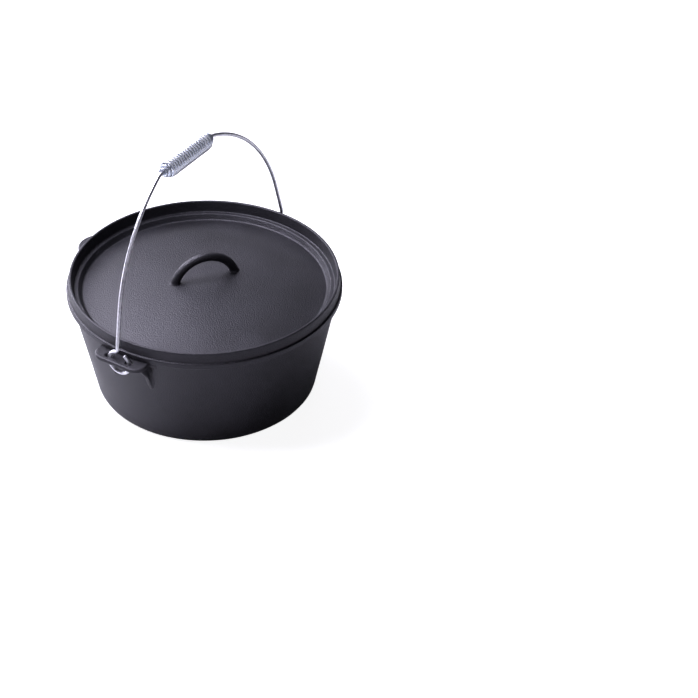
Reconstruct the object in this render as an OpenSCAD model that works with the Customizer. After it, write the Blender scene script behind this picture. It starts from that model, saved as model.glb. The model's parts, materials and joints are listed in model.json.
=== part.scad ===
// Cast iron camp oven with a dished lid and a wire bail carrying a coil grip.
// Origin: centre of the flat base. +X runs along the two bail ears, +Y points
// to the plain tipping lug, +Z is up. All sizes in millimetres.

/* [Pot] */
// outside diameter of the pot at its rim
rim_dia = 308; // [290:1:330]
// height of the pot from the flat base to the rim
pot_height = 128.5; // [105:0.5:160]
// outside diameter where wall and base would meet
base_dia = 258; // [220:1:280]
// thickness of the side wall
wall = 4.8; // [4:0.1:6]
// thickness of the bottom
floor_thick = 5.5; // [4:0.1:8]
// outside radius of the bottom corner
corner_radius = 9; // [4:0.5:16]

/* [Ears and lug] */
// distance from the rim out to the middle of the bail holes
hole_out = 11; // [10:0.5:18]
// width of each ear along the rim
ear_width = 65; // [58:1:80]
// thickness of the ears and the lug
ear_thick = 5.5; // [5:0.1:6.5]
// play of the bail wire in its holes, across the hole
hole_play = 4.6; // [4.2:0.1:5.4]
// height of the ribs under each ear
rib_drop = 40; // [25:1:50]
// how far the tipping lug stands out from the rim
lug_reach = 23; // [15:1:32]

/* [Lid] */
// how far the lid edge overhangs the pot rim all round
lid_overhang = 4.5; // [4:0.1:5]
// height of the upstanding rim above the pot rim
lid_height = 18.5; // [16:0.5:22]
// thickness of the lid plate
lid_thick = 5; // [4.5:0.1:6]
// how far the dome rises from its edge to its middle
dome_rise = 16; // [6:0.5:17]
// gap between the locating step of the lid and the pot mouth
lid_gap = 2.5; // [1:0.1:3]

/* [Lid handle] */
// distance between the middles of the two handle feet
handle_span = 72; // [60:1:84]
// height of the bar middle above the lid at the top of the loop
handle_rise = 26; // [22:1:34]
// thickness of the handle bar
handle_bar = 10.6; // [8:0.1:11]
// direction of the handle measured from the ear line
handle_turn = -35; // [-90:1:90]

/* [Bail] */
// thickness of the bail wire
wire_dia = 4.4; // [4:0.1:4.6]
// height of the grip above the turning axis
bail_height = 183; // [170:1:200]
// length of the straight part under the coil grip
grip_length = 94; // [86:1:102]
// how far the grip sits from the middle, toward the first ear
grip_shift = 12; // [0:0.5:14]
// rest position of the bail, leaning toward the tipping lug
bail_lean = 3.5; // [-5:0.5:10]

/* [Coil grip] */
// outside diameter at the middle of the coil
coil_dia = 21.6; // [16:0.2:24]
// thickness of the coil wire
coil_wire = 2.8; // [2.4:0.1:3]
// number of turns
coil_turns = 22; // [18:1:24]

/* [Hidden] */
rim_r = rim_dia / 2;
base_r = base_dia / 2;
mouth_r = rim_r - wall;
round_facets = 112;
// wall slope: radius gained per millimetre of height
slope = (rim_r - base_r) / pot_height;
// inside corner and the small easing at the rim
inner_corner = 14;
rim_ease = 0.8;

// lid numbers, all taken from the pot rim they sit on
lid_r = rim_r + lid_overhang;
seat_z = pot_height;
lid_top = seat_z + lid_height;
edge_high = 6.5;          // plain edge band under the outer step
step_in = 2.2;            // width of the outer step
wall_draft = 1.3;         // lean of the upstanding rim, outside
rim_thick = 3;            // upstanding rim at its top
foot_thick = 6.6;         // upstanding rim at its foot
ledge_wide = 5;           // flat ring inside the foot
ledge_z = seat_z + lid_thick + 0.2;
step_drop = 6.5;          // from the ledge down to the dome edge
step_run = 4;             // sideways run of that step
wall_out = lid_r - step_in;
foot_r = wall_out - foot_thick;
ledge_r = foot_r - ledge_wide;
dome_r = ledge_r - step_run;
dome_edge_z = ledge_z - step_drop;
dome_sphere = (dome_r * dome_r + dome_rise * dome_rise) / (2 * dome_rise);
locate_r = mouth_r - lid_gap;
dome_steps = 12;

// ears
ear_reach = rim_r + hole_out;
hole_dia = wire_dia + hole_play;
ear_out = ear_reach + hole_dia / 2 + 5;
ear_round = 13;
pivot_down = 4.6;         // turning axis below the rim
pivot_z = pot_height - pivot_down;
loop_r = 13.5;            // loop of the bail around its own axis
hole_y = sqrt(loop_r * loop_r - pow(pivot_down - ear_thick / 2, 2));
rib_thick = 6;
rib_inset = 4;            // middle of a rib from the side of its ear
rib_turn = asin((ear_width / 2 - rib_inset) / ear_reach);

// bail bends
wire_facets = 16;
plug_thin = 0.1;          // joints between bends: one side is this much thinner
plug_reach = 0.5;         // and reaches this far into the other
bend_r = 5;
bend_z = sqrt(loop_r * loop_r + 2 * loop_r * bend_r);
bend_turn = atan2(bend_z, bend_r);
tail_turn = 128;          // where the loop ends, measured from +Y
shoulder_r = 12;
shoulder_turn = [32, 18]; // first side, then second side
base_bend_r = 14;
g = [grip_length / 2 + grip_shift, grip_length / 2 - grip_shift];
SIDES = [0, 1];
// The legs lean in by the angle that closes the arch with a straight leg of
// leg_wish; a tall narrow bail keeps least_lean and gets longer legs instead.
leg_wish = 37;
least_lean = 2;
span_left = [for (s = SIDES) ear_reach - g[s] - shoulder_r * sin(shoulder_turn[s])];
rise_left = [for (s = SIDES) bail_height - bend_z - shoulder_r * (1 - cos(shoulder_turn[s]))];
function radius_for(s, b) =
    (span_left[s] - leg_wish * sin(b) - base_bend_r * (1 - cos(b))) / (cos(b) - sin(shoulder_turn[s]));
function rise_for(s, b) =
    radius_for(s, b) * (cos(shoulder_turn[s]) - sin(b)) + leg_wish * cos(b) + base_bend_r * sin(b);
function lean_between(s, a, b, n) =
    n == 0 ? (a + b) / 2
    : rise_for(s, (a + b) / 2) > rise_left[s] ? lean_between(s, (a + b) / 2, b, n - 1)
    : lean_between(s, a, (a + b) / 2, n - 1);
leg_lean = [for (s = SIDES) max(least_lean, lean_between(s, 0, 45, 24))];
side_turn = [for (s = SIDES) 90 - shoulder_turn[s] - leg_lean[s]];
// two straight-line equations give the side radius and the leg length
run_need = [for (s = SIDES) span_left[s] - base_bend_r * (1 - cos(leg_lean[s]))];
rise_need = [for (s = SIDES) rise_left[s] - base_bend_r * sin(leg_lean[s])];
run_k = [for (s = SIDES) cos(leg_lean[s]) - sin(shoulder_turn[s])];
rise_k = [for (s = SIDES) cos(shoulder_turn[s]) - sin(leg_lean[s])];
solve = [for (s = SIDES) run_k[s] * cos(leg_lean[s]) - rise_k[s] * sin(leg_lean[s])];
side_r = [for (s = SIDES)
    (run_need[s] * cos(leg_lean[s]) - rise_need[s] * sin(leg_lean[s])) / solve[s]];
leg_len = [for (s = SIDES) (run_k[s] * rise_need[s] - rise_k[s] * run_need[s]) / solve[s]];

// coil
coil_gap = 0.35;
coil_len = grip_length - 1;
coil_mid_r = (coil_dia - coil_wire) / 2;
coil_end_r = wire_dia / 2 + coil_gap + coil_wire / 2;
coil_taper = 14;
coil_sides = 6;
coil_steps = 18;

// points on an arc about c, from angle a to angle b
function arc(c, r, a, b, n) =
    [for (i = [0:n]) [c[0] + r * cos(a + (b - a) * i / n), c[1] + r * sin(a + (b - a) * i / n)]];

function outer_at(z) = base_r + slope * z;
function dome_at(r) = dome_edge_z + dome_rise - (dome_sphere - sqrt(dome_sphere * dome_sphere - r * r));

// ---- pot: one casting with two drilled ears and one plain lug ----
module pot_profile() {
    a = atan(slope);
    // corner circle touching the base plane and the sloping wall
    cr = base_r + slope * corner_radius - corner_radius / cos(a);
    ir = outer_at(floor_thick) - wall - inner_corner * (1 / cos(a) - slope);
    polygon(concat(
        [[0, 0]],
        arc([cr, corner_radius], corner_radius, -90, -a, 6),
        [[rim_r, pot_height - rim_ease], [rim_r - rim_ease, pot_height],
         [mouth_r + rim_ease, pot_height], [mouth_r, pot_height - rim_ease]],
        arc([ir, floor_thick + inner_corner], inner_corner, -a, -90, 6),
        [[0, floor_thick]]));
}

module ear_plate() {
    w = ear_width / 2;
    translate([0, 0, pot_height - ear_thick])
        linear_extrude(ear_thick)
            difference() {
                polygon(concat(
                    [[rim_r - wall / 2 - 4, -w - 4], [rim_r - 2, -w - 3], [rim_r + 3, -w]],
                    arc([ear_out - ear_round, -w + ear_round], ear_round, -90, 0, 6),
                    arc([ear_out - ear_round, w - ear_round], ear_round, 0, 90, 6),
                    [[rim_r + 3, w], [rim_r - 2, w + 3], [rim_r - wall / 2 - 4, w + 4]]));
                for (s = [-1, 1])
                    translate([ear_reach, s * hole_y]) circle(d = hole_dia, $fn = 32);
            }
}

module ear_ribs() {
    top = pot_height - ear_thick + 0.5;
    low = pot_height - ear_thick - rib_drop;
    for (s = [-1, 1])
        rotate([0, 0, s * rib_turn])
            translate([0, rib_thick / 2, 0])
                rotate([90, 0, 0])
                    linear_extrude(rib_thick)
                        polygon([[outer_at(low) - 2, low], [outer_at(low) + 0.5, low],
                                 [outer_at(low + rib_drop * 0.55) + 5, low + rib_drop * 0.55],
                                 [ear_reach + 3, top - 1.5], [ear_reach + 3, top],
                                 [outer_at(top) - 2, top]]);
}

module lug() {
    w = 24;
    out = rim_r + lug_reach;
    translate([0, 0, pot_height - ear_thick])
        linear_extrude(ear_thick)
            polygon(concat(
                [[w + 5, rim_r - 8], [w + 1, rim_r - 1.5]],
                [for (i = [0:12]) [w * cos(i * 15), rim_r + 1 + (lug_reach - 1) * sin(i * 15)]],
                [[-w - 1, rim_r - 1.5], [-w - 5, rim_r - 8]]));
}

module pot() {
    color([0.16, 0.16, 0.17])
        union() {
            rotate_extrude($fn = round_facets) pot_profile();
            difference() {
                union() {
                    for (s = [0, 180]) rotate([0, 0, s]) { ear_plate(); ear_ribs(); }
                    lug();
                }
                // clears the mouth so that nothing stands inside the pot
                cylinder(r1 = base_r - 3, r2 = mouth_r + 1.5, h = pot_height + 0.01,
                         $fn = round_facets);
            }
        }
}

// ---- lid: dished plate with an upstanding rim and a loop handle ----
module lid_profile() {
    polygon(concat(
        // top side, from the middle of the dome outward
        [for (i = [0:dome_steps]) let (r = dome_r * i / dome_steps) [r, dome_at(r)]],
        [[ledge_r, ledge_z], [foot_r, ledge_z],
         [wall_out - wall_draft - rim_thick, lid_top - 1],
         [wall_out - wall_draft - rim_thick + 0.8, lid_top],
         [wall_out - wall_draft - 0.8, lid_top],
         [wall_out - wall_draft, lid_top - 1],
         [wall_out, seat_z + edge_high], [lid_r - 0.8, seat_z + edge_high],
         [lid_r, seat_z + edge_high - 0.8], [lid_r, seat_z + 0.8],
         [lid_r - 0.8, seat_z], [locate_r, seat_z],
         [locate_r - 0.4, seat_z - 3], [locate_r - 2, dome_edge_z - lid_thick + 0.4]],
        // underside, back to the middle
        [for (i = [dome_steps:-1:0]) let (r = dome_r * i / dome_steps) [r, dome_at(r) - lid_thick]]));
}

module lid_handle() {
    h = handle_span / 2;
    r = (h * h + handle_rise * handle_rise) / (2 * handle_rise);
    foot_z = dome_at(h);
    cz = foot_z + handle_rise - r;
    // the bar stops half way into the plate
    half = acos((foot_z - cz - lid_thick * 0.35) / r);
    rotate([0, 0, handle_turn]) {
        translate([0, 0, cz])
            rotate([90, 0, 0])
                rotate([0, 0, 90 - half])
                    rotate_extrude(angle = 2 * half, $fn = 96)
                        translate([r, 0]) circle(d = handle_bar, $fn = 20);
        for (s = [-1, 1])
            translate([s * (h + 0.5), 0, foot_z - lid_thick * 0.6])
                cylinder(d1 = handle_bar + 7, d2 = handle_bar + 0.6, h = 7, $fn = 24);
    }
}

module lid() {
    color([0.24, 0.24, 0.26])
        union() {
            rotate_extrude($fn = round_facets) lid_profile();
            lid_handle();
        }
}

// ---- bail: one wire, formed with a loop through the two holes of each ear ----
// an arc of wire about the local Z axis, starting on +X; a plug piece is a hair
// thinner and reaches a little way into both of its neighbours
module bent(r, turn, plug = 0) {
    over = plug * plug_reach / r * 180 / PI;
    rotate([0, 0, -over])
        rotate_extrude(angle = turn + 2 * over, $fn = min(144, max(30, round(360 / turn) * 6)))
            translate([r, 0]) circle(d = wire_dia - plug * plug_thin, $fn = wire_facets);
}
module straight(len, plug = 0) {
    translate([0, 0, -plug * plug_reach])
        cylinder(d = wire_dia - plug * plug_thin, h = len + 2 * plug * plug_reach, $fn = wire_facets);
}

// everything on one side except the grip itself, drawn on +X
module bail_half(s) {
    turn = shoulder_turn[s];
    lean = leg_lean[s];
    // shoulder
    translate([g[s], 0, bail_height - shoulder_r])
        rotate([90, 0, 0]) rotate([0, 0, 90 - turn]) bent(shoulder_r, turn, 1);
    // long side arc
    translate([g[s] + (shoulder_r - side_r[s]) * sin(turn), 0,
               bail_height - shoulder_r + (shoulder_r - side_r[s]) * cos(turn)])
        rotate([90, 0, 0]) rotate([0, 0, lean]) bent(side_r[s], side_turn[s]);
    // leaning leg
    translate([ear_reach - base_bend_r * (1 - cos(lean)), 0, bend_z + base_bend_r * sin(lean)])
        rotate([0, -lean, 0]) straight(leg_len[s], 1);
    // bend back to upright
    translate([ear_reach - base_bend_r, 0, bend_z])
        rotate([90, 0, 0]) bent(base_bend_r, lean);
    // turn toward the first hole, then the loop about the turning axis
    translate([ear_reach, 0, 0]) rotate([90, 0, 90]) {
        translate([bend_r, bend_z, 0]) rotate([0, 0, 180]) bent(bend_r, bend_turn, 1);
        rotate([0, 0, tail_turn]) bent(loop_r, 360 - tail_turn + bend_turn);
    }
}

module on_pivot() {
    translate([0, 0, pivot_z]) rotate([-bail_lean, 0, 0]) children();
}

module bail() {
    color([0.75, 0.76, 0.8])
        on_pivot() {
            translate([-g[0], 0, bail_height]) rotate([0, 90, 0]) straight(grip_length);
            mirror([1, 0, 0]) bail_half(0);
            bail_half(1);
        }
}

// ---- coil grip: barrel shaped coil round the straight part of the bail ----
function smooth(t) = t * t * (3 - 2 * t);
function coil_r(x) =
    let (e = min(1, max(0, (coil_len / 2 - abs(x)) / coil_taper)))
    coil_end_r + (coil_mid_r - coil_end_r) * smooth(e);

module coil_grip() {
    n = coil_turns * coil_steps;
    run = coil_len - coil_wire;
    points = [for (i = [0:n], j = [0:coil_sides - 1])
        let (x = -run / 2 + run * i / n, a = 360 * i / coil_steps,
             b = 360 * j / coil_sides, r = coil_r(x) + coil_wire / 2 * cos(b))
        [x + coil_wire / 2 * sin(b), r * cos(a), r * sin(a)]];
    sides = [for (i = [0:n - 1], j = [0:coil_sides - 1])
        let (k = (j + 1) % coil_sides)
        [i * coil_sides + j, (i + 1) * coil_sides + j, (i + 1) * coil_sides + k, i * coil_sides + k]];
    caps = [[for (j = [0:coil_sides - 1]) j],
            [for (j = [coil_sides - 1:-1:0]) n * coil_sides + j]];
    color([0.7, 0.73, 0.8])
        on_pivot() translate([-grip_shift, 0, bail_height])
            polyhedron(points = points, faces = concat(sides, caps), convexity = 8);
}

pot();
lid();
bail();
coil_grip();
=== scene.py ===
# %% [markdown]
# # Cast iron camp oven with a wire bail
# This lesson dresses a finished CAD model. The CAD model says where every part
# is and how it moves. Here each part gets its soft cast edges, its grain and
# its shine. All lengths in the shape functions are millimetres, as in a
# foundry drawing, and a mesh is scaled to metres when it is made.
#
# The frame is loaded first. Nothing built here may stand outside it.

# %% Load the CAD frame
import json
import math

import bmesh
import bpy
import numpy as np
from mathutils import Matrix, Vector

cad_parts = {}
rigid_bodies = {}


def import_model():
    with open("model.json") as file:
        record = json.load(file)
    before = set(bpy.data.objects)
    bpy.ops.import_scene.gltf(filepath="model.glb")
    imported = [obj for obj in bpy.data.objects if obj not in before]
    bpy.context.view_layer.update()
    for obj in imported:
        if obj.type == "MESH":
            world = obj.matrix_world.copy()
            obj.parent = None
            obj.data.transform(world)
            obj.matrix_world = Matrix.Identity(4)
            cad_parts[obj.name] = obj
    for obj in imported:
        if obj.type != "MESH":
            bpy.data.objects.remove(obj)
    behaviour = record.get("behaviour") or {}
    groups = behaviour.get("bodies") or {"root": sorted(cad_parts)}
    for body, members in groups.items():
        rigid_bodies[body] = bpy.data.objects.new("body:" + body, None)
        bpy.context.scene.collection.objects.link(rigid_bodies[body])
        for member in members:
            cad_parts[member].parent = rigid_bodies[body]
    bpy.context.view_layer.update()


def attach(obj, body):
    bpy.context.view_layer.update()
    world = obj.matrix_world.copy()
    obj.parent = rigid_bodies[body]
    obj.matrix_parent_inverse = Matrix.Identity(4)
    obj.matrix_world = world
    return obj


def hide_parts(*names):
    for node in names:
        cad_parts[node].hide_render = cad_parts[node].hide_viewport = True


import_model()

# %% [markdown]
# ## The camera
# A product picture is taken from far away with a long lens, so that round
# things keep their shape. The camera is placed by its point in space, the
# direction it looks, and a slight roll about that direction.

# %% Camera
CAMERA_PLACE = (-1.42948, -1.01865, 1.36206)
CAMERA_LOOK = (0.691423, 0.398824, -0.602390)
CAMERA_ROLL = 1.708  # degrees, clockwise as seen through the camera
SENSOR = 36.0
LENS = 95.562


def camera_turn(look, roll_deg):
    """Columns are right, up and back. Right is level, square to the look
    direction, and both right and up are then turned by the roll."""
    look = np.array(look) / np.linalg.norm(look)
    right = np.cross(look, (0.0, 0.0, 1.0))
    right /= np.linalg.norm(right)
    up = np.cross(right, look)
    c, s = math.cos(math.radians(roll_deg)), math.sin(math.radians(roll_deg))
    return np.stack([c * right + s * up, c * up - s * right, -look], axis=1)


def make_camera():
    """The scene's camera, with the columns of its turn and its place as a matrix."""
    data = bpy.data.cameras.new("studio_camera")
    data.sensor_width, data.lens = SENSOR, LENS
    data.clip_start, data.clip_end = 0.05, 60.0
    camera = bpy.data.objects.new("studio_camera", data)
    bpy.context.scene.collection.objects.link(camera)
    placed = np.eye(4)
    placed[:3, :3] = camera_turn(CAMERA_LOOK, CAMERA_ROLL)
    placed[:3, 3] = CAMERA_PLACE
    camera.matrix_world = Matrix(placed.tolist())
    bpy.context.scene.camera = camera
    return camera


camera = make_camera()
print("camera at", CAMERA_PLACE, "lens", LENS)

# %% [markdown]
# ## Surfaces from grids
# Every new piece is a grid of points worked out at once as an array. One
# function turns such a grid into a mesh: four neighbours make a face, an
# edge of the grid may wrap round onto the other edge, and a row that has
# shrunk to one point becomes a fan of triangles. Doing this in one place
# means that each shape below is only its formula.

# %% From a grid to a mesh
MM = 0.001


def grid_faces(rows, cols, wrap_rows, wrap_cols):
    """Indices of the four corners of each cell, row by row."""
    r = np.arange(rows if wrap_rows else rows - 1)
    c = np.arange(cols if wrap_cols else cols - 1)
    r, c = np.meshgrid(r, c, indexing="ij")
    r2, c2 = (r + 1) % rows, (c + 1) % cols
    corners = np.stack([r * cols + c, r2 * cols + c, r2 * cols + c2, r * cols + c2], -1)
    return corners.reshape(-1, 4)


def build(name, grids, wrap_rows=False, wrap_cols=True, drop=None, weld=1e-3):
    """A closed, smooth mesh object from one or more grids of millimetre points.
    Points closer than weld become one, faces that shrink to a line go, and a
    face goes too if drop(points of its corners) says so."""
    points, faces, start = [], [], 0
    for grid in grids:
        rows, cols = grid.shape[:2]
        points.append(grid.reshape(-1, 3))
        faces.append(grid_faces(rows, cols, wrap_rows, wrap_cols) + start)
        start += rows * cols
    points, faces = np.concatenate(points), np.concatenate(faces)
    if drop is not None:
        faces = faces[~drop(points[faces])]
    # weld: points in the same small cell share one number
    cell = np.round(points / weld).astype(np.int64)
    _, first, same = np.unique(cell, axis=0, return_index=True, return_inverse=True)
    points, faces = points[first], same.reshape(-1)[faces]
    a, b, c, d = faces.T
    three = (a == b) | (b == c) | (c == d) | (d == a)
    quads = faces[~three]
    # a cell with one shrunk side keeps its three different corners
    rest = faces[three]
    shift = np.argmax(rest == np.roll(rest, -1, axis=1), axis=1)
    order = (shift[:, None] + 1 + np.arange(3)) % 4
    tris = np.take_along_axis(rest, order, axis=1)
    tris = tris[(tris != np.roll(tris, -1, axis=1)).all(axis=1)]
    used, place = np.unique(np.concatenate([quads.ravel(), tris.ravel()]), return_inverse=True)
    quads = place[: quads.size].reshape(-1, 4)
    tris = place[quads.size:].reshape(-1, 3)
    mesh = bpy.data.meshes.new(name)
    mesh.from_pydata((points[used] * MM).tolist(), [], quads.tolist() + tris.tolist())
    mesh.validate()
    face_outward(mesh)
    mesh.polygons.foreach_set("use_smooth", np.ones(len(mesh.polygons), bool))
    piece = bpy.data.objects.new(name, mesh)
    bpy.context.scene.collection.objects.link(piece)
    print(f"{name}: {len(mesh.vertices)} points, {len(mesh.polygons)} faces,",
          edge_count(mesh), "open edges")
    return piece


def face_outward(mesh):
    """Turns every face the same way round and outward."""
    work = bmesh.new()
    work.from_mesh(mesh)
    bmesh.ops.recalc_face_normals(work, faces=work.faces)
    work.to_mesh(mesh)
    work.free()


def edge_count(mesh):
    """How many edges have other than two faces."""
    counts = np.zeros(len(mesh.edges), int)
    loop_edges = np.empty(len(mesh.loops), int)
    mesh.loops.foreach_get("edge_index", loop_edges)
    np.add.at(counts, loop_edges, 1)
    return int((counts != 2).sum())


# %% [markdown]
# ## Rounded outlines
# A casting has no sharp corner, because sand can't hold one and iron doesn't
# fill one. A drawing gives straight lines and a radius at each corner, and
# one function turns that into a smooth line: it cuts each corner back by the
# length of its tangent and puts an arc in the gap. Bevel modifiers could do
# it too, but an outline keeps each radius where the drawing has it.

# %% Rounded outline
def rounded(corners, radii, arc_steps=8):
    """Points of a line with arcs at its corners. For a corner that turns by t,
    the arc of radius R starts R tan(t/2) before it and ends as far behind."""
    p = np.array(corners, float)
    before = np.roll(p, 1, axis=0) - p
    after = np.roll(p, -1, axis=0) - p
    parts = []
    for i, (corner, radius) in enumerate(zip(p, radii)):
        if radius <= 0 or i in (0, len(p) - 1):
            parts.append(corner[None])
            continue
        u = before[i] / np.linalg.norm(before[i])
        v = after[i] / np.linalg.norm(after[i])
        half = math.acos(float(np.clip(u @ v, -1, 1))) / 2
        centre = corner + (u + v) / np.linalg.norm(u + v) * radius / math.sin(half)
        first = corner + u * radius / math.tan(half) - centre
        last = corner + v * radius / math.tan(half) - centre
        sweep = math.pi - 2 * half
        t = np.linspace(0, 1, arc_steps + 1)[:, None]
        arc = (np.sin((1 - t) * sweep) * first + np.sin(t * sweep) * last) / math.sin(sweep)
        parts.append(centre + arc)
    return np.concatenate(parts)


def finer(line, step):
    """The same line with no two neighbours further apart than step."""
    gaps = np.linalg.norm(np.diff(line, axis=0), axis=1)
    count = np.maximum(1, np.ceil(gaps / step)).astype(int)
    start = np.repeat(np.arange(len(gaps)), count)
    share = np.concatenate([np.arange(n) / n for n in count])[:, None]
    inner = line[start] * (1 - share) + line[start + 1] * share
    return np.concatenate([inner, line[-1:]])


def lathe(profile, columns):
    """Turns a line of (radius, height) about the Z axis."""
    turn = np.linspace(0, 2 * np.pi, columns, endpoint=False)
    r, z = profile[:, 0][:, None], profile[:, 1][:, None]
    return np.stack([r * np.cos(turn), r * np.sin(turn), z + 0 * turn], axis=-1)


def capped(grid):
    """The grid with one more row at each end, shrunk to that end's middle."""
    first, last = (grid[[i]].mean(axis=1, keepdims=True) + 0 * grid[[i]] for i in (0, -1))
    return np.concatenate([first, grid, last])


def hollow(radius, gap):
    """How far a hollow fillet stands out at a gap from the surface it meets:
    R - sqrt(R^2 - (R - gap)^2), and nothing where the gap is over R."""
    reach = np.clip(radius - gap, 0, radius)
    return radius - np.sqrt(np.maximum(radius ** 2 - reach ** 2, 0))


def sand_waves(x, y, size, seed):
    """A smooth unevenness from 0 to 1: a dozen plane waves of about the given
    wavelength, in directions and phases drawn from the seed, added up."""
    draw = np.random.default_rng(seed)
    total = np.zeros(np.shape(x))
    for angle, phase, stretch in draw.uniform(0, 1, (12, 3)):
        k = 2 * np.pi / (size * (0.7 + 0.8 * stretch))
        a = 2 * np.pi * angle
        total = total + np.sin(k * (x * np.cos(a) + y * np.sin(a)) + 2 * np.pi * phase)
    return np.clip(0.5 + total / 12, 0, 1)


# %% [markdown]
# ## The pot
# The pot is one casting: a tapered wall that leans out by about eleven
# degrees so that the pattern leaves the sand, a flat bottom with a round
# corner, and a plain rim. A turned profile is the whole shape, so the wall
# is a lathe surface. A cast wall is never quite true: waves of up to a third
# of a millimetre break up its reflections, and they only go inward so that
# the size stays.

# %% Pot wall and bottom
RIM_R, BASE_R, POT_HEIGHT = 154.0, 129.0, 128.5
WALL, FLOOR = 4.8, 5.5
SLOPE = (RIM_R - BASE_R) / POT_HEIGHT
CORNER_R, INNER_CORNER_R, RIM_SOFT = 9, 14, 1.5
COLUMNS = 320
WAVE_RING = 150  # the waves are laid on a drum of this radius


def wall_radius(z):
    """Outside radius of the pot at a height."""
    return BASE_R + SLOPE * z


pot_line = rounded(
    [(0, 0), (BASE_R, 0), (RIM_R, POT_HEIGHT), (RIM_R - WALL, POT_HEIGHT),
     (wall_radius(FLOOR) - WALL, FLOOR), (0, FLOOR)],
    [0, CORNER_R, RIM_SOFT, RIM_SOFT, INNER_CORNER_R, 0])
pot_line = finer(pot_line, 4.0)
pot_grid = lathe(pot_line, COLUMNS)


def sink(grid, depth, size, seed):
    """Moves a turned surface in by up to depth, by waves laid round it."""
    around = np.arctan2(grid[..., 1], grid[..., 0])
    r = np.hypot(grid[..., 0], grid[..., 1])
    along = np.cumsum(np.pad(np.hypot(np.diff(r[:, 0]), np.diff(grid[:, 0, 2])), (1, 0)))
    across, deep, along = WAVE_RING * np.cos(around), WAVE_RING * np.sin(around), along[:, None]
    waves = 0.5 * (sand_waves(across, along + deep, size, seed)
                   + sand_waves(deep, along - across, size, seed + 1))
    steps_u = np.gradient(grid, axis=0)
    steps_v = np.roll(grid, -1, axis=1) - np.roll(grid, 1, axis=1)
    normal = np.cross(steps_v, steps_u)
    length = np.linalg.norm(normal, axis=-1, keepdims=True)
    normal = np.where(length > 1e-9, normal / np.maximum(length, 1e-9), 0)
    # no waves on the axis, on the standing face or on the seat of the rim
    z = grid[..., 2]
    calm = np.clip(r / 20, 0, 1) * np.clip(z / 3, 0, 1) * np.clip((125 - z) / 6, 0, 1)
    return grid - normal * (depth * waves * calm)[..., None]


pot_body = build("pot_casting", [sink(pot_grid, 0.35, 45, 3)])

# %% [markdown]
# ## Flat plates with soft edges
# The ears and the tipping lug are plates level with the rim. A plate is
# carried along its outline: at each outline point the section runs from the
# middle over the rounded top edge, down the side, round the bottom edge and
# back. Where a plate has a hole the section starts at the hole's wall
# instead, and so the hole gets its own soft edge in the same way.

# %% Plate section
def inset_line(line, depth):
    """The line moved in by depth along its own normals, to its left."""
    step = np.gradient(line, axis=0)
    step /= np.maximum(np.linalg.norm(step, axis=1, keepdims=True), 1e-9)
    return line + np.stack([-step[:, 1], step[:, 0]], 1) * np.reshape(depth, (-1, 1))


def plate_rows(inner, inner_edge, outer_edge, outer, top, low, radius_in, radius_out, across):
    """Closed sections of a plate, one per outline point: up the inner wall,
    over its edge, across the top, over the outer edge, and back below.
    A quarter arc goes from the wall to the face as (1 - cos, sin)."""
    rows, heights = [], []

    def add(line, z):
        rows.append(line)
        heights.append(np.full(len(line), z, float))

    def lift(a, b, z0, z1, t):
        add(a * (1 - t[0]) + b * t[0], z0 + (z1 - z0) * t[1])

    share = np.linspace(0, 1, across)
    bends = [(1 - math.cos(q), math.sin(q)) for q in np.linspace(0, np.pi / 2, 6)]
    for t in bends:
        lift(inner, inner_edge, top - radius_in, top, t)
    for s in share[1:-1]:
        add(inner_edge * (1 - s) + outer_edge * s, top)
    for t in bends[::-1]:
        lift(outer, outer_edge, top - radius_out, top, t)
    for t in bends:
        lift(outer, outer_edge, low + radius_out, low, t)
    for s in share[-2:0:-1]:
        add(inner_edge * (1 - s) + outer_edge * s, low)
    for t in bends[::-1]:
        lift(inner, inner_edge, low + radius_in, low, t)
    flat = np.stack(rows, axis=0)
    z = np.stack(heights, axis=0)[..., None]
    return np.concatenate([flat, z], axis=-1)


# %% [markdown]
# ## Ears
# Each ear is a tab with two drilled holes for the loop of the bail, and two
# ribs that carry it down the wall. One half of the tab is a ring of sections
# between its hole and its outline, and the other half is its mirror image.
# The faces on the mirror plane are dropped, so both halves are one plate.
# Below, the iron runs into the wall in a small hollow fillet.

# %% Ear tab
EAR_REACH, EAR_WIDTH, EAR_THICK, EAR_OUT = 165.0, 65.0, 5.5, 174.5
HOLE_R, HOLE_Y = 4.5, 13.37
EDGE_SOFT, HOLE_SOFT = 1.9, 0.9
IN_WALL = 151.4  # the tab ends inside the thickness of the wall
TAB_FLARE, TAB_FILLET = 6.5, 4.0  # how its root widens, seen from above and from the side


def ear_outline():
    """Half of the tab, first its free edge and then the whole ring: front,
    flank, back along the inside of the wall, and out on the mirror line. The
    root lies 2 mm inside the rim, at x = sqrt((R - 2)^2 - y^2)."""
    side = EAR_WIDTH / 2
    root = math.sqrt((RIM_R - 2) ** 2 - (side + TAB_FLARE) ** 2)
    front = rounded([(EAR_OUT, 0), (EAR_OUT, side), (root + 7, side + 0.3),
                     (root, side + TAB_FLARE)],
                    [0, 13, 6, 0], arc_steps=14)
    front = finer(front, 2.2)
    a0 = math.atan2(side + TAB_FLARE, root)
    arc = np.linspace(a0, 0, 16)
    back = IN_WALL * np.stack([np.cos(arc), np.sin(arc)], 1)
    seam = np.stack([np.linspace(IN_WALL, EAR_OUT - EDGE_SOFT, 12), np.zeros(12)], 1)[1:]
    return front, np.concatenate([front, back, seam])


def under_fillet(grid, radius, low):
    """Lowers the points under a plate near the wall by the hollow fillet."""
    gap = np.hypot(grid[..., 0], grid[..., 1]) - wall_radius(low)
    below = grid[..., 2] < low + 1.0
    out = grid.copy()
    out[..., 2] -= np.where(below, hollow(radius, gap), 0)
    return out


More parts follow.
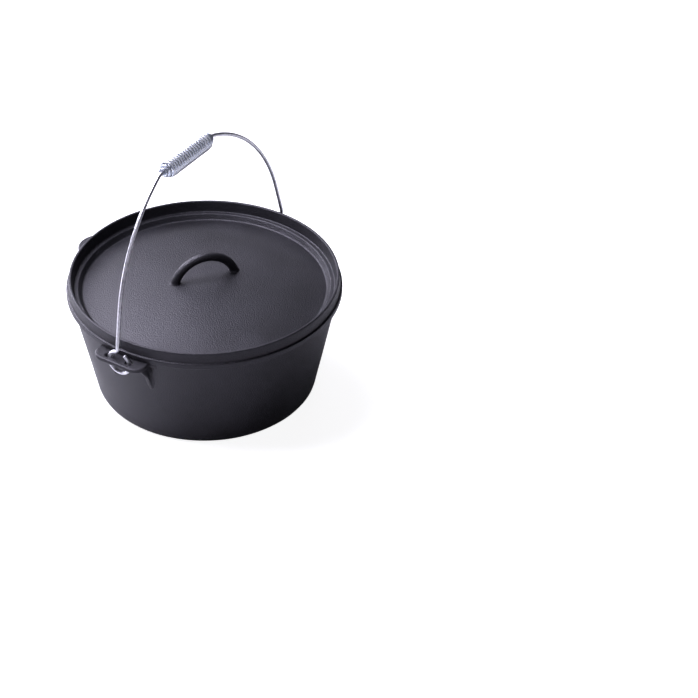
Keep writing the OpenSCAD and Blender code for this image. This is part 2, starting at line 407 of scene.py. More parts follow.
def ear_half():
    """Sections of half a tab: each runs from the wall of the hole out to one
    point of the outline, along the line from the middle of the hole."""
    top, low = POT_HEIGHT, POT_HEIGHT - EAR_THICK
    front, loop = ear_outline()
    edge = loop.copy()
    edge[: len(front)] = inset_line(front, EDGE_SOFT)
    edge[0] = (EAR_OUT - EDGE_SOFT, 0)
    hole = np.array([EAR_REACH, HOLE_Y])
    away = loop - hole
    away /= np.linalg.norm(away, axis=1, keepdims=True)
    wall = hole + away * HOLE_R
    lip = hole + away * (HOLE_R + HOLE_SOFT)
    rows = plate_rows(wall, lip, edge, loop, top, low, HOLE_SOFT, EDGE_SOFT, across=22)
    return under_fillet(rows, TAB_FILLET, low)


def on_mirror(corners):
    """True for faces whose corners all lie on the mirror plane y = 0."""
    return (np.abs(corners[..., 1]) < 1e-6).all(axis=1)


MIRRORED, HALF_TURN = (1, -1, 1), (-1, -1, 1)
tab = ear_half()
for name, half_tab in (("ear_tab_a", tab), ("ear_tab_b", tab * HALF_TURN)):
    build(name, [half_tab, half_tab * MIRRORED], wrap_rows=True, drop=on_mirror)

# %% [markdown]
# ## Ribs
# A rib is a thin web under each end of a tab. Seen from the side its free
# edge starts wide below the tab and runs down into the wall. Seen from above
# it is a finger with a round tip that widens where it meets the wall. Two
# numbers place a point: how far down the rib it is, and how far round the
# finger. A squashed circle of power four makes sides flat and tip round.

# %% Ribs
RIB_DROP, RIB_HALF, RIB_SOFT = 40.0, 3.1, 3.0
RIB_ROOT = 1.6  # how deep the web starts inside the wall
RIB_TURN = math.asin((EAR_WIDTH / 2 - 4) / EAR_REACH)


def rib_grid(turn):
    """Rows go down the rib, columns round its finger shaped section."""
    top, low = POT_HEIGHT - EAR_THICK + 0.6, POT_HEIGHT - EAR_THICK - RIB_DROP
    edge = rounded([(EAR_REACH + 3, top), (EAR_REACH + 3, top - 2.2),
                    (wall_radius(low + 22) + 5.5, low + 22), (wall_radius(low) + 0.3, low)],
                   [0, 3, 22, 0], arc_steps=10)
    edge = finer(edge, 1.2)
    depth = (edge[:, 0] - wall_radius(edge[:, 1]))[:, None] + RIB_ROOT
    z = edge[:, 1][:, None]
    a = np.linspace(-np.pi / 2, np.pi / 2, 41)[None, :]
    half = RIB_HALF * (0.62 + 0.38 * np.clip((z - low) / RIB_DROP, 0, 1))
    out = depth * np.abs(np.cos(a)) ** 0.5
    side = half * np.sign(np.sin(a)) * np.abs(np.sin(a)) ** 0.5
    flare = hollow(RIB_SOFT, np.clip(out - RIB_ROOT, 0, None))
    side = side + np.sign(a) * flare * np.clip((z - low) / 9, 0, 1)
    x = wall_radius(z) - RIB_ROOT + out
    c, s = math.cos(turn), math.sin(turn)
    grid = np.stack([x * c - side * s, x * s + side * c, z + 0 * a], axis=-1)
    return capped(grid)


for name, turn in (("rib_a1", RIB_TURN), ("rib_a2", -RIB_TURN),
                   ("rib_b1", math.pi + RIB_TURN), ("rib_b2", math.pi - RIB_TURN)):
    build(name, [rib_grid(turn)])

# %% [markdown]
# ## Tipping lug
# On one side, square to the line of the ears, a plain half round tab helps to
# tip the hot pot. Its outline is half an ellipse, and its section is the ear's.

# %% Tipping lug
LUG_HALF, LUG_REACH = 24.0, 23.0
LUG_BACK = RIM_R - 8.2  # where its root goes into the wall


def lug_grid():
    """The plate section carried round half an ellipse, closed in the wall."""
    top, low = POT_HEIGHT, POT_HEIGHT - EAR_THICK
    a = np.linspace(0, np.pi, 48)
    tip = np.stack([LUG_HALF * np.cos(a), RIM_R + 0.5 + (LUG_REACH - 0.5) * np.sin(a)], 1)
    root = LUG_HALF + TAB_FLARE
    right = np.array([[root, LUG_BACK], [LUG_HALF + 2.2, RIM_R - 4.0]])
    front = np.concatenate([right, tip, right[::-1] * (-1, 1)])
    arc = np.linspace(math.atan2(LUG_BACK, -root), math.atan2(LUG_BACK, root), 18)
    back = IN_WALL * np.stack([np.cos(arc), np.sin(arc)], 1)
    loop = np.concatenate([front, back])
    edge = loop.copy()
    edge[: len(front)] = inset_line(front, EDGE_SOFT)
    middle = np.array([0, RIM_R + 4.0])
    inner = middle + (loop - middle) * 0.02
    rows = plate_rows(middle + 0 * loop, inner, edge, loop, top, low, 0.0, EDGE_SOFT, across=18)
    return under_fillet(rows, TAB_FILLET, low)


build("tipping_lug", [lug_grid()], wrap_rows=True)

# %% [markdown]
# ## The lid
# The lid is a second turned casting. From the middle outward it has a low
# dome, a sloping step up to a flat ledge, a tall rim that keeps embers on
# the lid, and outside a lower band that stands out over the pot. Below, a
# locating step drops inside the mouth. Each corner has its own radius,
# because the bright rings on a lid are those corners.

# %% Lid plate
LID_R, SEAT_Z, LID_TOP = 158.5, 128.5, 147.0
LEDGE_Z, LEDGE_R, FOOT_R = 133.7, 144.7, 149.7
DOME_R, DOME_EDGE_Z, DOME_RISE, LID_THICK = 140.7, 127.2, 16.0, 5.0
DOME_SPHERE = (DOME_R ** 2 + DOME_RISE ** 2) / (2 * DOME_RISE)
LIP_IN, LIP_OUT = 152.0, 155.0  # top edge of the tall rim
BAND_IN, BAND_Z = 156.3, 135.0  # where the lower band meets the tall rim
LOCATE_Z, LOCATE_LOW = 125.5, 122.5  # side and bottom of the locating step


def dome(r):
    """Height of the dome: a sphere's cap, highest in the middle."""
    return DOME_EDGE_Z + DOME_RISE - DOME_SPHERE + np.sqrt(DOME_SPHERE ** 2 - r ** 2)


def lid_line():
    """The profile as (radius, height): the dome outward, over the ledge, rim
    and band, back under the seat and the step, and the dome inward below."""
    r = np.linspace(0, DOME_R, 45)
    up = np.stack([r, dome(r)], 1)
    outside = [(LEDGE_R, LEDGE_Z), (FOOT_R, LEDGE_Z), (LIP_IN, LID_TOP), (LIP_OUT, LID_TOP),
               (BAND_IN, BAND_Z), (LID_R, BAND_Z), (LID_R, SEAT_Z), (146.7, SEAT_Z),
               (146.3, LOCATE_Z), (144.4, LOCATE_LOW)]
    soft = [1.6, 1.5, 1.35, 1.35, 1.0, 1.3, 0.8, 0.8, 0.8, 1.2]
    down = np.stack([r[::-1], dome(r[::-1]) - LID_THICK], 1)
    corners = np.concatenate([up[-2:], np.array(outside), down[:2]])
    radii = [0, 2.4] + soft + [6.0, 0]
    bend = rounded(corners, radii, arc_steps=7)
    return np.concatenate([up[:-2], finer(bend, 2.2), down[2:]])


def lid_grid():
    """The turned profile, with the dome lowered here and there by sand waves."""
    grid = lathe(lid_line(), COLUMNS)
    x, y = grid[..., 0], grid[..., 1]
    r = np.hypot(x, y)
    calm = np.clip(r / 8, 0, 1) * np.clip((DOME_R - r) / 12, 0, 1)
    out = grid.copy()
    out[..., 2] -= 0.3 * calm * sand_waves(x, y, 70, 11)
    return out


lid_plate = build("lid_casting", [lid_grid()])

# %% [markdown]
# ## Lid handle
# The loop on the lid is a round bar bent to an arc, cast in one with the
# lid. Its feet spread into the dome. The bar is a tube swept along the arc,
# and any point near the dome is pushed away from the bar's middle by a share
# of the hollow fillet, which gives a foot that follows the dome by itself.

# %% Lid handle
HANDLE_SPAN, HANDLE_RISE, HANDLE_BAR, HANDLE_TURN = 72.0, 26.0, 10.5, -35.0
HANDLE_ROOT, HANDLE_FILLET, FILLET_SHARE = 2.2, 2.6, 0.45


def handle_grid():
    """Rings along the arc through both feet and the top of the loop, whose
    radius is (h^2 + rise^2) / (2 rise) with h half the span."""
    h = HANDLE_SPAN / 2
    arc_r = (h * h + HANDLE_RISE ** 2) / (2 * HANDLE_RISE)
    foot_z = dome(h)
    centre_z = foot_z + HANDLE_RISE - arc_r
    ends = math.acos((foot_z - HANDLE_ROOT - centre_z) / arc_r)
    a = np.linspace(-ends, ends, 241)[:, None]
    b = np.linspace(0, 2 * np.pi, 32, endpoint=False)[None, :]
    # the bar is a little wider than it is deep
    wide, deep = HANDLE_BAR / 2, HANDLE_BAR / 2 * 0.97
    r = arc_r + deep * np.cos(b)
    x, z = r * np.sin(a), centre_z + r * np.cos(a)
    y = wide * np.sin(b)
    height = z - dome(np.minimum(np.hypot(x, y), DOME_R))
    push = hollow(HANDLE_FILLET, height)
    away = np.stack([x - arc_r * np.sin(a), y + 0 * a], -1)
    away /= np.maximum(np.linalg.norm(away, axis=-1, keepdims=True), 1e-6)
    x = x + away[..., 0] * push * FILLET_SHARE
    y = y + away[..., 1] * push * FILLET_SHARE
    turn = math.radians(HANDLE_TURN)
    c, s = math.cos(turn), math.sin(turn)
    return capped(np.stack([x * c - y * s, x * s + y * c, z], -1))


lid_handle = build("lid_handle", [handle_grid()])

# %% [markdown]
# ## The bail
# The bail is one wire. Its middle is straight inside the coil grip, then it
# bends over a tight shoulder into a long arc, leans in to a straight leg,
# stands up over the ear, and ends in a loop that goes down through one hole
# and up through the other. Such a wire is a list of bends. Each bend is an
# arc in a plane, and a circle is carried along the line that they make.
# The radius of the side arc and the lean of the leg are found from two
# lengths that must close: the width out to the ear, and the height of the grip.

# %% Bail line
WIRE_R, BAIL_HEIGHT, GRIP, GRIP_SHIFT = 2.2, 183.0, 94.0, 12.0
PIVOT_Z, LOOP_R, BEND_R, TAIL_TURN = 123.9, 13.5, 5.0, 128.0
SHOULDER_R, BASE_BEND, LEG_LEN = 12.0, 14.0, 37.0
NEAR_TURN, FAR_TURN = math.radians(32), math.radians(18)
LEAN = math.radians(3.5)
BEND_Z = math.sqrt(LOOP_R ** 2 + 2 * LOOP_R * BEND_R)


def closing_bends(grip_end, turn):
    """The lean b and the side radius that close one half of the arch. The width
    gives the radius for any b, and b is halved in on until the height fits."""
    run = EAR_REACH - grip_end - SHOULDER_R * math.sin(turn)
    rise = BAIL_HEIGHT - BEND_Z - SHOULDER_R * (1 - math.cos(turn))

    def radius(b):
        left_over = run - LEG_LEN * math.sin(b) - BASE_BEND * (1 - math.cos(b))
        return left_over / (math.cos(b) - math.sin(turn))

    def height(b):
        return (radius(b) * (math.cos(turn) - math.sin(b))
                + LEG_LEN * math.cos(b) + BASE_BEND * math.sin(b))

    low, high = 0.0, math.radians(45)
    for _ in range(40):
        middle = (low + high) / 2
        low, high = (middle, high) if height(middle) > rise else (low, middle)
    return low, radius(low)


def arc_points(centre, radius, start, stop, step=1.2):
    """Points on an arc of a plane, angles in radians, about step apart."""
    n = max(3, int(abs(stop - start) * radius / step))
    a = np.linspace(start, stop, n + 1)
    return np.stack([centre[0] + radius * np.cos(a), centre[1] + radius * np.sin(a)], 1)


def arch_line(grip_end, turn):
    """Half of the arch in its own plane, as (x, height above the hinge),
    from the middle of the pot down to the bend over the ear."""
    up = math.pi / 2
    lean, side_r = closing_bends(grip_end, turn)
    print("grip end", grip_end, "lean", round(math.degrees(lean), 1),
          "side radius", round(side_r, 1))
    grip = np.array([[0.0, BAIL_HEIGHT], [grip_end, BAIL_HEIGHT]])
    shoulder = arc_points((grip_end, BAIL_HEIGHT - SHOULDER_R), SHOULDER_R, up, up - turn)
    centre = (grip_end + (SHOULDER_R - side_r) * math.sin(turn),
              BAIL_HEIGHT - SHOULDER_R + (SHOULDER_R - side_r) * math.cos(turn))
    side = arc_points(centre, side_r, up - turn, lean, 2.0)
    base = arc_points((EAR_REACH - BASE_BEND, BEND_Z), BASE_BEND, lean, 0.0)
    return finer(np.concatenate([grip, shoulder[1:], side[1:], base]), 2.0)


def loop_line():
    """The loop in the plane square to the arch, as (along Y, height): a small
    bend toward the first hole and then most of a turn about the hinge."""
    turn = math.atan2(BEND_Z, BEND_R)
    small = arc_points((BEND_R, BEND_Z), BEND_R, math.pi, math.pi + turn, 0.7)
    big = arc_points((0, 0), LOOP_R, turn, math.radians(TAIL_TURN) - 2 * math.pi, 1.0)
    return np.concatenate([small[1:], big[1:]])


def ring_points(place, one, two, radius, columns=16):
    """Circles about each place, in the plane of the directions one and two."""
    a = np.linspace(0, 2 * np.pi, columns, endpoint=False)[None, :, None]
    circle = np.cos(a) * one[:, None] + np.sin(a) * two[:, None]
    return place[:, None] + radius[:, None, None] * circle


def directions(line):
    """The direction of the line at each of its points, of length one."""
    step = np.gradient(line, axis=0)
    return step / np.linalg.norm(step, axis=1, keepdims=True)


def half_bail(grip_end, turn):
    """Rings of one half of the wire, drawn on +X, from the grip to the tip."""
    arch, loop = arch_line(grip_end, turn), loop_line()
    place = np.concatenate([
        np.stack([arch[:, 0], 0 * arch[:, 0], arch[:, 1]], 1),
        np.stack([EAR_REACH + 0 * loop[:, 0], loop[:, 0], loop[:, 1]], 1)])
    heading = directions(place)
    heading[0] = (1, 0, 0)
    in_arch = (np.arange(len(place)) < len(arch))[:, None]
    # the ring directions: Y and heading x Y in the arch, X x heading and X in the loop
    level, side = np.array([0.0, 1.0, 0.0]), np.array([1.0, 0.0, 0.0])
    one = np.where(in_arch, level, np.cross(side, heading))
    two = np.where(in_arch, np.cross(heading, level), side)
    one /= np.linalg.norm(one, axis=1, keepdims=True)
    two /= np.linalg.norm(two, axis=1, keepdims=True)
    radius = np.full(len(place), WIRE_R)
    # the cut end is filed round
    tip = place[-1] + heading[-1] * np.array([[0.5], [0.9], [1.0]])
    place = np.concatenate([place, tip])
    one, two = (np.concatenate([d, np.repeat(d[-1:], 3, axis=0)]) for d in (one, two))
    radius = np.concatenate([radius, WIRE_R * np.array([0.85, 0.5, 0.0])])
    return ring_points(place, one, two, radius)


def bail_grid():
    """Both halves in one run: the first is mirrored and read backward. The
    grip lies nearer the first ear, so that side has the sharper shoulder."""
    first = half_bail(GRIP / 2 + GRIP_SHIFT, NEAR_TURN)
    second = half_bail(GRIP / 2 - GRIP_SHIFT, FAR_TURN)
    return np.concatenate([(first * (-1, 1, 1))[:0:-1], second])


def on_hinge(grid):
    """Leans a grid about the hinge line and lifts it to its height."""
    y, z = grid[..., 1], grid[..., 2]
    c, s = math.cos(LEAN), math.sin(LEAN)
    return np.stack([grid[..., 0], y * c + z * s, z * c - y * s + PIVOT_Z], -1)


bail_wire = build("bail_wire", [on_hinge(bail_grid())])

# %% [markdown]
# ## The coil grip
# The grip is a thinner wire wound in a coil that keeps the hand off the hot
# bail. Its middle turns are full and its end turns draw in onto the wire.
# The line of the coil is a helix whose radius swells smoothly from each end,
# and again a circle is carried along it.

# %% Coil grip
COIL_R, COIL_WIRE_R, COIL_END_R, COIL_TAPER, TURNS = 9.35, 1.35, 3.95, 14.0, 22
COIL_LEN = GRIP - 1


def coil_grid(steps=30, columns=12):
    """Helix: x runs evenly, the angle runs with it, and the radius follows
    3t^2 - 2t^3 over the taper at each end."""
    n = TURNS * steps
    t = np.linspace(0, 1, n + 1)
    x = (COIL_LEN - 2 * COIL_WIRE_R) * (t - 0.5)
    near = np.clip((COIL_LEN / 2 - np.abs(x)) / COIL_TAPER, 0, 1)
    r = COIL_END_R + (COIL_R - COIL_END_R) * near ** 2 * (3 - 2 * near)
    a = 2 * np.pi * TURNS * t
    place = np.stack([x, r * np.cos(a), r * np.sin(a)], 1)
    heading = directions(place)
    out = np.stack([0 * a, np.cos(a), np.sin(a)], 1)
    out -= heading * (out * heading).sum(axis=1, keepdims=True)
    out /= np.linalg.norm(out, axis=1, keepdims=True)
    across = np.cross(heading, out)
    radius = np.full(len(place), COIL_WIRE_R)
    radius[[0, -1]] = COIL_WIRE_R * 0.8
    rings = ring_points(place, out, across, radius, columns)
    first = place[:1, None] + 0 * rings[:1]
    last = place[-1:, None] + 0 * rings[:1]
    return np.concatenate([first, rings, last])


coil = build("grip_coil", [on_hinge(coil_grid() + (-GRIP_SHIFT, 0, BAIL_HEIGHT))])

# %% [markdown]
# ## Which body each piece moves with
# The pot stands still, the lid lifts off, the bail swings on its hinge, and
# the grip turns on the bail. Each piece is told its body, and each CAD node
# that a piece stands for is hidden but stays for the collision model.

# %% Bodies and hidden CAD nodes
POT_PIECES = ["pot_casting", "ear_tab_a", "ear_tab_b",
              "rib_a1", "rib_a2", "rib_b1", "rib_b2", "tipping_lug"]
BODY_PIECES = {"pot": POT_PIECES, "lid": ["lid_casting", "lid_handle"],
               "bail": ["bail_wire"], "grip": ["grip_coil"]}
NODE_OF = {"pot": "pot", "lid": "lid", "bail": "bail", "grip": "coil_grip"}

for body, names in BODY_PIECES.items():
    for name in names:
        piece = bpy.data.objects[name]
        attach(piece, body)
    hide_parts(NODE_OF[body])
print("pieces", sum(len(v) for v in BODY_PIECES.values()))

# %% [markdown]
# ## Shared surface effects
# Two effects are used by both castings, so each is a node group with named
# sockets. The grain is what sand leaves on iron: small round pebbles of about
# a millimetre with finer grit on them, under a thin coat of baked oil. The
# rub and glint mask marks the lighter, smoother iron on proud edges. It is
# partly real wear, where hands and other pots touch it, and partly a painted
# highlight that lightens every convex edge, such as the rings of the lid, in
# place of a glint. The Pointiness of the mesh finds those edges.

# %% Node helpers
def node(tree, kind, at, **values):
    """A node with its place and its settings; input values go by name."""
    made = tree.nodes.new(kind)
    made.location = at
    for key, value in values.items():
        if key.startswith("in_"):
            made.inputs[int(key[3:])].default_value = value
        else:
            setattr(made, key, value)
    return made


def group(name, inputs, outputs):
    """An empty shader group with its sockets: (name, kind, value)."""
    tree = bpy.data.node_groups.new(name, "ShaderNodeTree")
    for label, kind, value in inputs:
        socket = tree.interface.new_socket(label, in_out="INPUT", socket_type=kind)
        if value is not None:
            socket.default_value = value
    for label, kind in outputs:
        tree.interface.new_socket(label, in_out="OUTPUT", socket_type=kind)
    start = node(tree, "NodeGroupInput", (-900, 0))
    end = node(tree, "NodeGroupOutput", (900, 0))
    return tree, start, end


def material(name):
    """A new material and its node tree, which is empty."""
    made = bpy.data.materials.new(name)
    made.use_nodes = True
    made.node_tree.nodes.clear()
    return made, made.node_tree


def ramp(tree, at, stops):
    """A colour ramp with two stops, each a (position, colour)."""
    made = node(tree, "ShaderNodeValToRGB", at)
    for stop, (place, colour) in zip(made.color_ramp.elements, stops):
        stop.position, stop.color = place, (*colour, 1)
    return made


# %% Sand grain group
def make_grain():
    """Height is grit times its share, less the distance to the next pebble's
    middle. Patches is a slow noise for colour and shine."""
    tree, start, end = group(
        "sand_grain",
        [("Position", "NodeSocketVector", None), ("Pebbles per metre", "NodeSocketFloat", 620.0),
         ("Grit", "NodeSocketFloat", 0.6)],
        [("Height", "NodeSocketFloat"), ("Patches", "NodeSocketFloat")])
    link = tree.links.new
    pebbles = node(tree, "ShaderNodeTexVoronoi", (-600, 200), feature="SMOOTH_F1")
    pebbles.inputs["Smoothness"].default_value = 0.7
    grit = node(tree, "ShaderNodeTexNoise", (-600, -100))
    grit.inputs["Detail"].default_value = 3.0
    grit.inputs["Roughness"].default_value = 0.6
    patches = node(tree, "ShaderNodeTexNoise", (-600, -400))
    patches.inputs["Scale"].default_value = 16.0
    patches.inputs["Detail"].default_value = 4.0
    link(start.outputs["Position"], pebbles.inputs["Vector"])
    link(start.outputs["Position"], grit.inputs["Vector"])
    link(start.outputs["Position"], patches.inputs["Vector"])
    link(start.outputs["Pebbles per metre"], pebbles.inputs["Scale"])
    finer_scale = node(tree, "ShaderNodeMath", (-780, -60), operation="MULTIPLY", in_1=1.7)
    link(start.outputs["Pebbles per metre"], finer_scale.inputs[0])
    link(finer_scale.outputs[0], grit.inputs["Scale"])
    flip = node(tree, "ShaderNodeMath", (-380, 200), operation="MULTIPLY", in_1=-1.0)
    link(pebbles.outputs["Distance"], flip.inputs[0])
    grit_part = node(tree, "ShaderNodeMath", (-380, -100), operation="MULTIPLY")
    link(grit.outputs[0], grit_part.inputs[0])
    link(start.outputs["Grit"], grit_part.inputs[1])
    total = node(tree, "ShaderNodeMath", (-180, 60), operation="ADD")
    link(flip.outputs[0], total.inputs[0])
    link(grit_part.outputs[0], total.inputs[1])
    link(total.outputs[0], end.inputs["Height"])
    link(patches.outputs[0], end.inputs["Patches"])
    return tree


grain_group = make_grain()


# %% Edge rub group
def make_rub_and_glint():
    """Mask is how proud an edge is, from Start to Full, times a broken noise.
    It marks real edge wear and a painted highlight on every convex edge at once.
    """
    tree, start, end = group(
        "edge_rub_and_glint",
        [("Position", "NodeSocketVector", None), ("Start", "NodeSocketFloat", 0.52),
         ("Full", "NodeSocketFloat", 0.60)],
        [("Mask", "NodeSocketFloat")])
    link = tree.links.new
    shape = node(tree, "ShaderNodeNewGeometry", (-700, 200))
    reach = node(tree, "ShaderNodeMapRange", (-400, 200), clamp=True)
    link(shape.outputs["Pointiness"], reach.inputs[0])
    link(start.outputs["Start"], reach.inputs[1])
    link(start.outputs["Full"], reach.inputs[2])
    breaks = node(tree, "ShaderNodeTexNoise", (-700, -150))
    breaks.inputs["Scale"].default_value = 140.0
    breaks.inputs["Detail"].default_value = 5.0
    link(start.outputs["Position"], breaks.inputs["Vector"])
    cut = node(tree, "ShaderNodeMapRange", (-400, -150), clamp=True, in_1=0.35, in_2=0.62)
    link(breaks.outputs[0], cut.inputs[0])
    both = node(tree, "ShaderNodeMath", (-100, 50), operation="MULTIPLY")
    link(reach.outputs[0], both.inputs[0])
    link(cut.outputs[0], both.inputs[1])
    link(both.outputs[0], end.inputs["Mask"])
    return tree


rub_and_glint_group = make_rub_and_glint()

# %% [markdown]
# ## Seasoned cast iron
# Seasoned iron is black because oil has baked onto it, and it is satin, not
# matt: the oil fills the finest pits. So it is a dark dielectric over a
# pebbled bump. Patches of the grain group move the colour and the roughness
# a little, as heat and handling do. Proud edges are lighter and slicker:
# partly real wear, and partly a painted highlight that stands in for the
# glints on the rings and rims.
# The lid is a little shinier than the pot, and the same function makes both.

# %% Cast iron materials
IRON_DARK, IRON_LIGHT = (0.0055, 0.0055, 0.0068), (0.012, 0.012, 0.0145)
IRON_WORN_AND_GLINT, IRON_TINT = (0.13, 0.12, 0.122), (0.93, 0.90, 1.0)


def cast_iron(name, rough, pebble_size, bump):
    """Iron with pebbles of a size in millimetres and a strength of bump."""
    mat, tree = material(name)
    link = tree.links.new
    out = node(tree, "ShaderNodeOutputMaterial", (900, 0))
    skin = node(tree, "ShaderNodeBsdfPrincipled", (600, 0))
    skin.inputs["IOR"].default_value = 1.5
    skin.inputs["Specular Tint"].default_value = (*IRON_TINT, 1)
    place = node(tree, "ShaderNodeTexCoord", (-900, 0))
    grain = node(tree, "ShaderNodeGroup", (-600, 100), node_tree=grain_group)
    grain.inputs["Pebbles per metre"].default_value = 1000.0 / pebble_size
    rub_and_glint = node(tree, "ShaderNodeGroup", (-600, -200), node_tree=rub_and_glint_group)
    link(place.outputs["Object"], grain.inputs["Position"])
    link(place.outputs["Object"], rub_and_glint.inputs["Position"])
    colours = ramp(tree, (-350, 250), [(0.35, IRON_DARK), (0.65, IRON_LIGHT)])
    link(grain.outputs["Patches"], colours.inputs[0])
    # proud edges get a lighter colour: real wear and a painted highlight together
    worn_and_glint = node(tree, "ShaderNodeMix", (100, 250), data_type="RGBA")
    worn_and_glint.inputs[7].default_value = (*IRON_WORN_AND_GLINT, 1)
    rub_and_glint_share = node(tree, "ShaderNodeMath", (-150, -50), operation="MULTIPLY", in_1=0.8)
    link(rub_and_glint.outputs["Mask"], rub_and_glint_share.inputs[0])
    link(rub_and_glint_share.outputs[0], worn_and_glint.inputs[0])
    link(colours.outputs[0], worn_and_glint.inputs[6])
    link(worn_and_glint.outputs[2], skin.inputs["Base Color"])
    roughness = node(tree, "ShaderNodeMapRange", (-150, -250), in_1=0.3, in_2=0.7,
                     in_3=rough - 0.05, in_4=rough + 0.06)
    link(grain.outputs["Patches"], roughness.inputs[0])
    slick = node(tree, "ShaderNodeMath", (100, -250), operation="MULTIPLY_ADD", in_1=-0.08)
    link(rub_and_glint.outputs["Mask"], slick.inputs[0])
    link(roughness.outputs[0], slick.inputs[2])
    link(slick.outputs[0], skin.inputs["Roughness"])
    pebbled = node(tree, "ShaderNodeBump", (300, -450))
    pebbled.inputs["Strength"].default_value = bump
    pebbled.inputs["Distance"].default_value = 0.0005
    link(grain.outputs["Height"], pebbled.inputs["Height"])
    link(pebbled.outputs[0], skin.inputs["Normal"])
    link(skin.outputs[0], out.inputs[0])
    return mat


pot_iron = cast_iron("pot_iron", 0.46, 1.3, 0.6)
lid_iron = cast_iron("lid_iron", 0.42, 1.25, 0.7)
print("iron for the pot and the lid made")

# %% [markdown]
# ## Bright zinc on drawn wire
# Both wires are drawn steel with a bright zinc coat. Drawing leaves fine
# marks, which a fine noise stands for, and the coat has a faint cloud to it. It is a metal, so
# its colour is in its reflection: a cool grey, a little bluer on the coil.
# The hollow of the coil gets painted shade: its colour darkens toward the
# axis, where the turns would shade one another.

# %% Zinc materials
COIL_PAINTED_SHADE = (0.50, 0.54, 0.61)


def zinc(name, colour, shade, rough, inside=None):
    """Bright zinc with clouds of shade. Inside paints shade into the hollow of a
    coil, darker toward its axis: a point of its axis, the radius inside which
    the painted shade is full, and the one where it is clear."""
    mat, tree = material(name)
    link = tree.links.new
    out = node(tree, "ShaderNodeOutputMaterial", (700, 0))
    skin = node(tree, "ShaderNodeBsdfPrincipled", (400, 0))
    skin.inputs["Metallic"].default_value = 1.0
    place = node(tree, "ShaderNodeTexCoord", (-900, 0))
    cloud = node(tree, "ShaderNodeTexNoise", (-600, 150))
    cloud.inputs["Scale"].default_value = 260.0
    cloud.inputs["Detail"].default_value = 4.0
    lines = node(tree, "ShaderNodeTexNoise", (-600, -150))
    lines.inputs["Scale"].default_value = 1500.0
    lines.inputs["Detail"].default_value = 2.0
    link(place.outputs["Object"], cloud.inputs["Vector"])
    link(place.outputs["Object"], lines.inputs["Vector"])
    colours = ramp(tree, (-350, 150), [(0.35, shade), (0.62, colour)])
    link(cloud.outputs[0], colours.inputs[0])
    colour_out = colours.outputs[0]
    # painted shade: the hollow of the coil darkens toward its axis, where the turns would shade it
    if inside:
        axis, painted_shade_r, clear = inside
        away = node(tree, "ShaderNodeVectorMath", (-700, 400), operation="SUBTRACT", in_1=axis)
        flat = node(tree, "ShaderNodeVectorMath", (-520, 400), operation="MULTIPLY", in_1=(0, 1, 1))
        reach = node(tree, "ShaderNodeVectorMath", (-340, 400), operation="LENGTH")
        out_of_shade = node(tree, "ShaderNodeMapRange", (-160, 400), clamp=True, in_1=painted_shade_r, in_2=clear)
        deep = node(tree, "ShaderNodeMix", (60, 250), data_type="RGBA")
        deep.inputs[6].default_value = (*COIL_PAINTED_SHADE, 1)
        link(place.outputs["Object"], away.inputs[0])
        link(away.outputs[0], flat.inputs[0])
        link(flat.outputs[0], reach.inputs[0])
        link(reach.outputs["Value"], out_of_shade.inputs[0])
        link(out_of_shade.outputs[0], deep.inputs[0])
        link(colour_out, deep.inputs[7])
        colour_out = deep.outputs[2]
    link(colour_out, skin.inputs["Base Color"])
    roughness = node(tree, "ShaderNodeMapRange", (-350, -150), in_1=0.3, in_2=0.7,
                     in_3=rough - 0.06, in_4=rough + 0.08)
    link(cloud.outputs[0], roughness.inputs[0])
    link(roughness.outputs[0], skin.inputs["Roughness"])
    drawn = node(tree, "ShaderNodeBump", (100, -350))
    drawn.inputs["Strength"].default_value = 0.06
    drawn.inputs["Distance"].default_value = 0.00005
    link(lines.outputs[0], drawn.inputs["Height"])
    link(drawn.outputs[0], skin.inputs["Normal"])
    link(skin.outputs[0], out.inputs[0])
    return mat


bail_zinc = zinc("bail_zinc", (0.80, 0.80, 0.84), (0.60, 0.60, 0.64), 0.34)
grip_axis = on_hinge(np.array([[0.0, 0.0, BAIL_HEIGHT]]))[0] * MM
# the coil's hollow gets painted shade between these two radii
coil_zinc = zinc("coil_zinc", (0.96, 0.98, 1.0), (0.88, 0.92, 0.98), 0.36,
                 inside=(tuple(grip_axis), MM * (COIL_R - 0.8), MM * (COIL_R + 0.4)))

FINISH = {"pot": pot_iron, "lid": lid_iron, "bail": bail_zinc, "grip": coil_zinc}
for body, names in BODY_PIECES.items():
    for name in names:
        bpy.data.objects[name].data.materials.append(FINISH[body])
print("materials", [m.name for m in FINISH.values()])

# %% [markdown]
# ## Floor, light and surroundings
# The set is a white floor under soft lights. The floor glows a little for
# the camera only, so that it stays white round a black pot while it still
# takes a soft shadow. Seven soft boxes light it: two nearly overhead draw the
# rings of the lid, four behind and at the left brighten its edges and the
# wall, and a weak one in front fills the dark side.

# %% Floor
FLOOR_GLOW, FLOOR_HALF = 0.88, 12.0


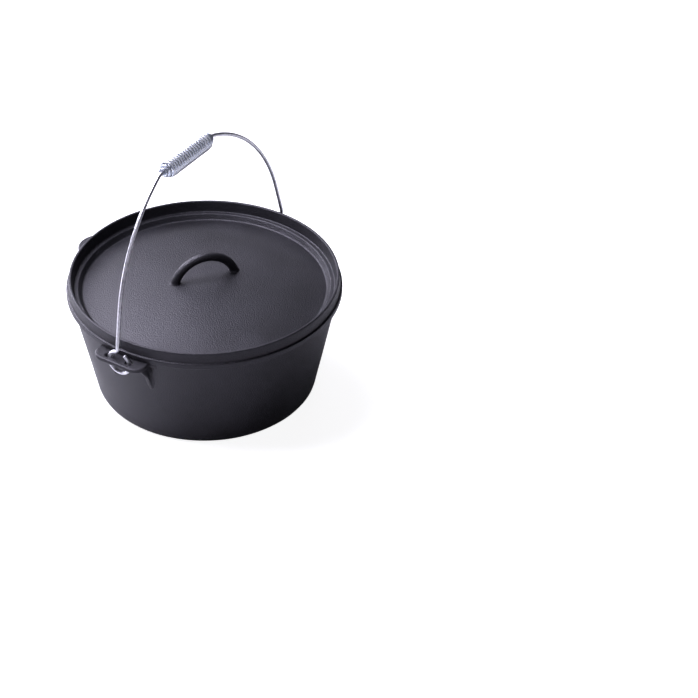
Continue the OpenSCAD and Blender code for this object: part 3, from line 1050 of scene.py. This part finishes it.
def make_floor():
    """A white square that is matt, and glows for rays from the camera only."""
    mat, tree = material("white_floor")
    link = tree.links.new
    out = node(tree, "ShaderNodeOutputMaterial", (600, 0))
    matt = node(tree, "ShaderNodeBsdfDiffuse", (0, 150), in_0=(0.62, 0.62, 0.63, 1))
    glow = node(tree, "ShaderNodeEmission", (0, -150), in_0=(1, 1, 1, 1))
    rays = node(tree, "ShaderNodeLightPath", (-400, -150))
    power = node(tree, "ShaderNodeMath", (-200, -150), operation="MULTIPLY", in_1=FLOOR_GLOW)
    link(rays.outputs["Is Camera Ray"], power.inputs[0])
    link(power.outputs[0], glow.inputs[1])
    both = node(tree, "ShaderNodeAddShader", (300, 0))
    link(matt.outputs[0], both.inputs[0])
    link(glow.outputs[0], both.inputs[1])
    link(both.outputs[0], out.inputs[0])
    corners = np.array([(-1, -1, 0), (1, -1, 0), (1, 1, 0), (-1, 1, 0)]) * FLOOR_HALF
    mesh = bpy.data.meshes.new("studio_floor")
    mesh.from_pydata(corners.tolist(), [], [(0, 1, 2, 3)])
    mesh.materials.append(mat)
    floor = bpy.data.objects.new("studio_floor", mesh)
    bpy.context.scene.collection.objects.link(floor)
    return floor


floor = make_floor()
print("floor", 2 * FLOOR_HALF, "metres across")


# %% Soft boxes
COOL = (0.88, 0.865, 1.0)
VIEW_RIGHT = np.array([0.4997, -0.8663, 0.0])
VIEW_AWAY = np.array([0.8663, 0.4997, 0.0])
STRAIGHT_UP = np.array([0.0, 0.0, 1.0])


def soft_box(name, right, away, up, size, power, aim=(0, 0, 0.1)):
    """An area light placed by metres to the right of, behind and above the
    pot as the camera sees it, and turned toward the aim point."""
    place = right * VIEW_RIGHT + away * VIEW_AWAY + up * STRAIGHT_UP
    data = bpy.data.lights.new(name, "AREA")
    data.shape, data.size, data.size_y = "RECTANGLE", size[0], size[1]
    data.energy, data.color = power, COOL
    light = bpy.data.objects.new(name, data)
    bpy.context.scene.collection.objects.link(light)
    light.location = place
    toward = Vector(aim) - Vector(place)
    light.rotation_euler = toward.to_track_quat("-Z", "Y").to_euler()
    light.visible_camera = False
    return light


soft_box("overhead_left", -0.8, 0.0, 1.3, (0.8, 0.8), 35.0)
soft_box("overhead_back", -0.5, 0.5, 1.5, (0.8, 0.8), 12.5)
soft_box("high_back_left", -0.9, 1.2, 1.0, (0.8, 0.8), 10.5)
soft_box("low_back_left", -1.2, 1.0, 0.4, (0.8, 0.6), 16.0)
soft_box("high_back", 0.0, 1.6, 1.0, (1.2, 0.8), 4.5)
soft_box("low_left", -1.4, 0.0, 0.13, (1.0, 0.2), 4.0, aim=(0, 0, 0.06))
print("lights", len(bpy.data.lights))
soft_box("front_fill", 0.3, -1.6, 1.0, (1.0, 0.8), 3.6)

# %% Surroundings
WORLD_LIGHT = 0.035


def make_world():
    """White for the camera, and a dim cool grey for everything else."""
    world = bpy.data.worlds.new("studio_air")
    bpy.context.scene.world = world
    world.use_nodes = True
    tree = world.node_tree
    tree.nodes.clear()
    link = tree.links.new
    out = node(tree, "ShaderNodeOutputWorld", (600, 0))
    seen = node(tree, "ShaderNodeBackground", (0, 150), in_0=(1, 1, 1, 1), in_1=1.0)
    lit = node(tree, "ShaderNodeBackground", (0, -150), in_0=(*COOL, 1), in_1=WORLD_LIGHT)
    rays = node(tree, "ShaderNodeLightPath", (0, 400))
    pick = node(tree, "ShaderNodeMixShader", (300, 0))
    link(rays.outputs["Is Camera Ray"], pick.inputs[0])
    link(lit.outputs[0], pick.inputs[1])
    link(seen.outputs[0], pick.inputs[2])
    link(pick.outputs[0], out.inputs[0])


make_world()
print("surroundings lit at", WORLD_LIGHT)
bpy.context.scene.view_settings.view_transform = "Standard"
